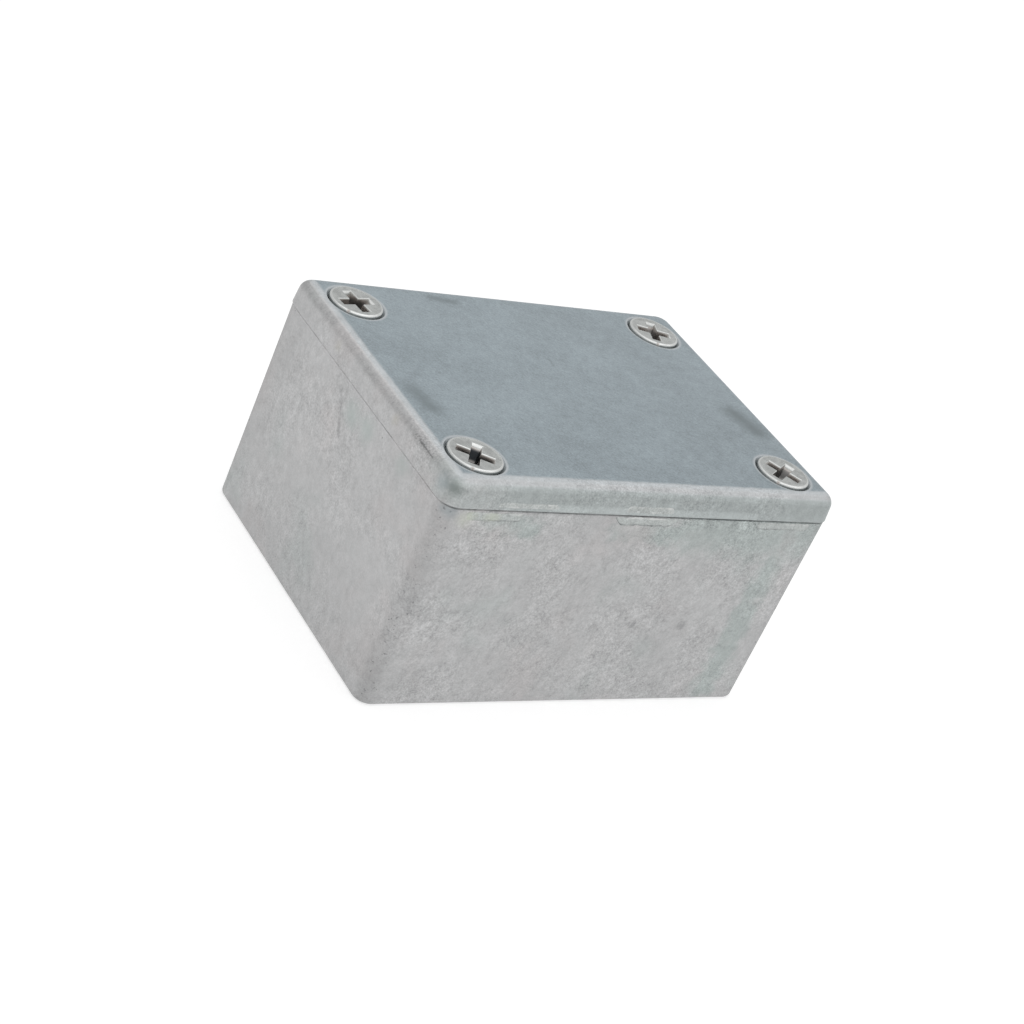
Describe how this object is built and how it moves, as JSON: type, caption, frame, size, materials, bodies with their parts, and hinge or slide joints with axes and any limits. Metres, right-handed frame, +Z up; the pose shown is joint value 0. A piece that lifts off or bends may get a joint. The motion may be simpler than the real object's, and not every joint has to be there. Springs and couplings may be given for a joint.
{
  "type": "electronics enclosure",
  "caption": "Small rectangular die-cast aluminium electronics box with drafted sides and a flat lid held down by countersunk cross-recess screws.",
  "frame": {"origin": "centre of the underside of the base", "axes": "+X along the length, +Y across the width, +Z up through the lid"},
  "size_m": [0.0508, 0.0382, 0.0279],
  "materials": {
    "cast_base": "as-cast, tumbled, mottled light grey",
    "cast_lid": "as-cast, linished blue-grey top",
    "screw_steel": "bright plated"
  },
  "bodies": {
    "base": {"base": "cast_base"},
    "lid": {"lid": "cast_lid", "lid_screws": "screw_steel"}
  },
  "joints": [
    {"name": "lid_lift", "type": "slide", "parent": "base", "child": "lid", "axis": [0, 0, 1], "range_m": [0, 0.04]}
  ]
}
